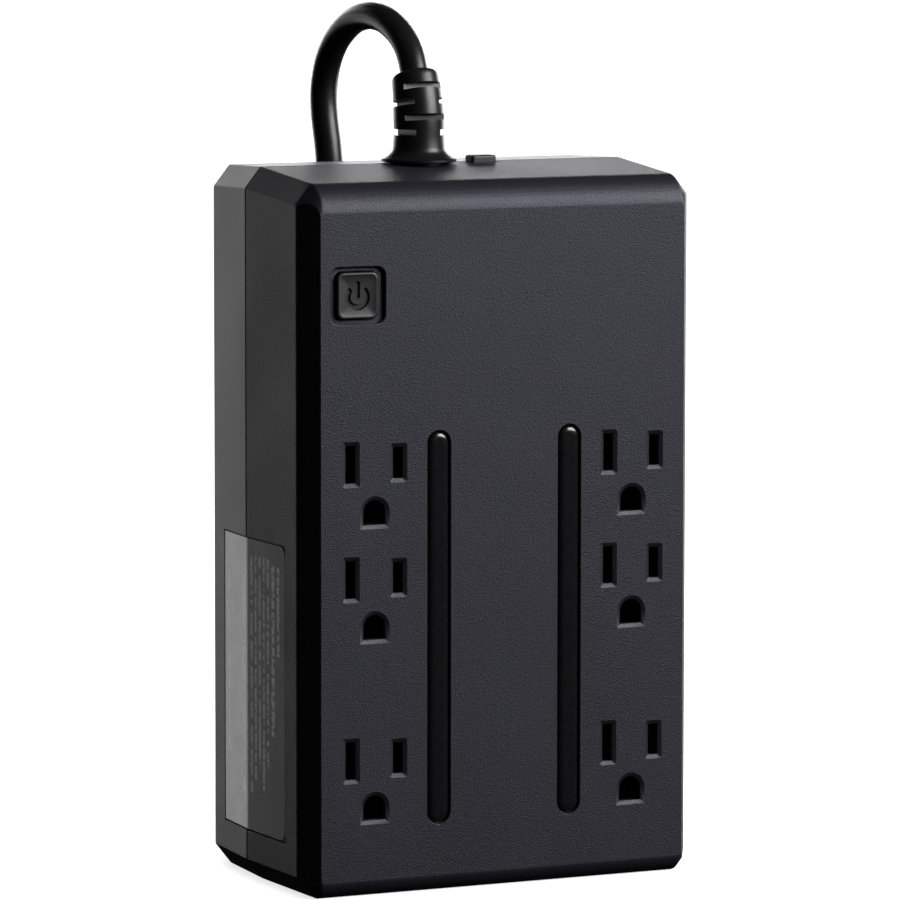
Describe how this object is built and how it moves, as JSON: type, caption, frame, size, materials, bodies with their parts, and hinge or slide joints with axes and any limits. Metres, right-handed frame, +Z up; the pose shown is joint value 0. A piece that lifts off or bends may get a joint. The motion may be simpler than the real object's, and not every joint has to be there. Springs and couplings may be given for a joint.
{
  "type": "uninterruptible power supply",
  "caption": "Compact upright battery backup power supply: two-shell black case with two columns of outlets on its face, power button, breaker reset and mains lead.",
  "frame": {"origin": "centre of the case's footprint, rear feet included and the lead left out, on the surface it stands on", "axes": "+Z up; the face with the outlets looks along -Y and its back along +Y; +X is to the right as the face is seen"},
  "size_m": [0.1446, 0.1849, 0.2158],
  "materials": {
    "front_shell": "fine textured mould grain",
    "rear_shell": "fine textured mould grain",
    "gloss_black": "polished",
    "button_plastic": "satin",
    "dark_housing": "satin",
    "circuit_board": "solder mask",
    "carrier_plastic": "plain moulded",
    "brass": "stamped",
    "cord_jacket": "satin flexible vinyl",
    "tie_fabric": "woven hook and loop",
    "battery_case": "plain moulded",
    "foam": "open cell",
    "red_lead": "vinyl insulation",
    "black_lead": "vinyl insulation",
    "laminations": "varnished",
    "winding_tape": "polyester tape",
    "capacitor_sleeve": "shrink sleeve",
    "heat_sink": "extruded",
    "label": "satin film",
    "steel": "zinc plated",
    "rubber": "matt"
  },
  "bodies": {
    "unit": {"front_cover": "front_shell", "rear_cover": "rear_shell", "backup_bar": "gloss_black", "surge_bar": "gloss_black", "power_switch": "dark_housing", "breaker_body": "dark_housing", "buzzer": "dark_housing", "relay_1": "dark_housing", "relay_2": "dark_housing", "switch_board": "circuit_board", "main_board": "circuit_board", "outlet_carrier_left": "carrier_plastic", "outlet_carrier_right": "carrier_plastic", "neutral_bus_left": "brass", "hot_bus_left": "brass", "ground_bus_left": "brass", "neutral_bus_right": "brass", "hot_bus_right": "brass", "ground_bus_right": "brass", "plug_blade_hot": "brass", "plug_blade_neutral": "brass", "plug_ground_pin": "brass", "battery_terminal_positive": "brass", "battery_terminal_negative": "brass", "power_cord": "cord_jacket", "power_cord_tail": "cord_jacket", "cord_coil": "cord_jacket", "strain_relief": "cord_jacket", "plug_body": "cord_jacket", "cord_tie": "tie_fabric", "battery": "battery_case", "battery_pad": "foam", "battery_lead_positive": "red_lead", "battery_lead_negative": "black_lead", "transformer_core": "laminations", "transformer_winding": "winding_tape", "capacitor_1": "capacitor_sleeve", "capacitor_2": "capacitor_sleeve", "heat_sink": "heat_sink", "side_label": "label", "case_screw_1": "steel", "case_screw_2": "steel", "case_screw_3": "steel", "case_screw_4": "steel", "rubber_foot_1": "rubber", "rubber_foot_2": "rubber", "rubber_foot_3": "rubber", "rubber_foot_4": "rubber"},
    "button": {"power_button": "button_plastic"},
    "reset": {"breaker_reset": "button_plastic"}
  },
  "joints": [
    {"name": "power_button_press", "type": "slide", "parent": "unit", "child": "button", "axis": [0, 1, 0], "range_m": [0, 0.001], "stiffness_N_per_m": 400},
    {"name": "breaker_reset_slide", "type": "slide", "parent": "unit", "child": "reset", "axis": [0, 0, 1], "range_m": [0, 0.0025]}
  ]
}
